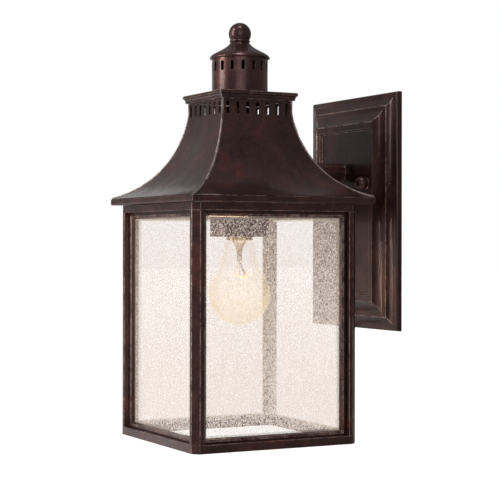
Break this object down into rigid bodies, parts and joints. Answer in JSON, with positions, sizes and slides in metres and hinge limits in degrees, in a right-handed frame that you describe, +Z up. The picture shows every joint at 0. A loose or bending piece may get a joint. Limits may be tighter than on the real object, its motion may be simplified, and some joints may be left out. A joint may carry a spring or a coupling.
{
  "type": "outdoor wall lantern",
  "caption": "Square glazed wall lantern with an open bottom, flared vented roof, round chimney with ball finial, and a moulded rectangular backplate on a short round arm.",
  "frame": {"origin": "centre of the mounting strap's back face, on the wall", "axes": "+Z up, +Y into the wall, +X to the right of a person facing the wall; the cage hangs on the -Y side"},
  "size_m": [0.1906, 0.2292, 0.4026],
  "materials": {
    "bronze": "satin dark red-brown bronze paint with copper-coloured wear on the edges",
    "steel": "zinc-plated",
    "green_screw": "green-dyed zinc plate",
    "seeded_glass": "pale cream seeded glass, full of fine bubbles",
    "bulb_glass": "clear thin bulb glass",
    "stem_glass": "clear glass",
    "filament": "glowing warm wire",
    "brass": "plain",
    "insulator": "black glass-like insulator",
    "porcelain": "white glaze",
    "black_lead": "insulated wire",
    "white_lead": "insulated wire",
    "green_lead": "insulated wire and its connector",
    "red_connector": "moulded connector"
  },
  "bodies": {
    "root": {"backplate": "bronze", "ball_nut_left": "bronze", "ball_nut_right": "bronze", "arm_tube": "bronze", "arm_spacer": "bronze", "bottom_frame": "bronze", "top_frame": "bronze", "corner_post_front_right": "bronze", "corner_post_back_right": "bronze", "corner_post_back_left": "bronze", "corner_post_front_left": "bronze", "glass_frame_front": "bronze", "glass_frame_right": "bronze", "glass_frame_back": "bronze", "glass_frame_left": "bronze", "eave_frame": "bronze", "roof_panel_front": "bronze", "roof_panel_right": "bronze", "roof_panel_back": "bronze", "roof_panel_left": "bronze", "gallery_collar": "bronze", "chimney_tube": "bronze", "chimney_cap": "bronze", "finial_ball": "bronze", "socket_cup": "bronze", "mounting_strap": "steel", "stud_left": "steel", "stud_right": "steel", "stud_nut_left": "steel", "stud_nut_right": "steel", "arm_end_plug": "steel", "arm_nipple": "steel", "arm_lock_nut": "steel", "centre_rod": "steel", "roof_bridge": "steel", "bridge_nut": "steel", "deck_nut": "steel", "cup_nut": "steel", "ground_screw": "green_screw", "glass_pane_front": "seeded_glass", "glass_pane_right": "seeded_glass", "glass_pane_back": "seeded_glass", "glass_pane_left": "seeded_glass", "socket_shell": "brass", "socket_contact": "brass", "socket_body": "porcelain", "live_lead": "black_lead", "neutral_lead": "white_lead", "ground_lead": "green_lead", "ground_connector": "green_lead", "live_connector": "red_connector", "neutral_connector": "red_connector"},
    "bulb": {"bulb_envelope": "bulb_glass", "bulb_stem": "stem_glass", "bulb_filament": "filament", "bulb_base": "brass", "bulb_insulator": "insulator", "bulb_contact": "brass"}
  },
  "joints": [
    {"name": "bulb_removal", "type": "slide", "parent": "root", "child": "bulb", "axis": [0, 0, -1], "range_m": [0, 0.225]}
  ]
}
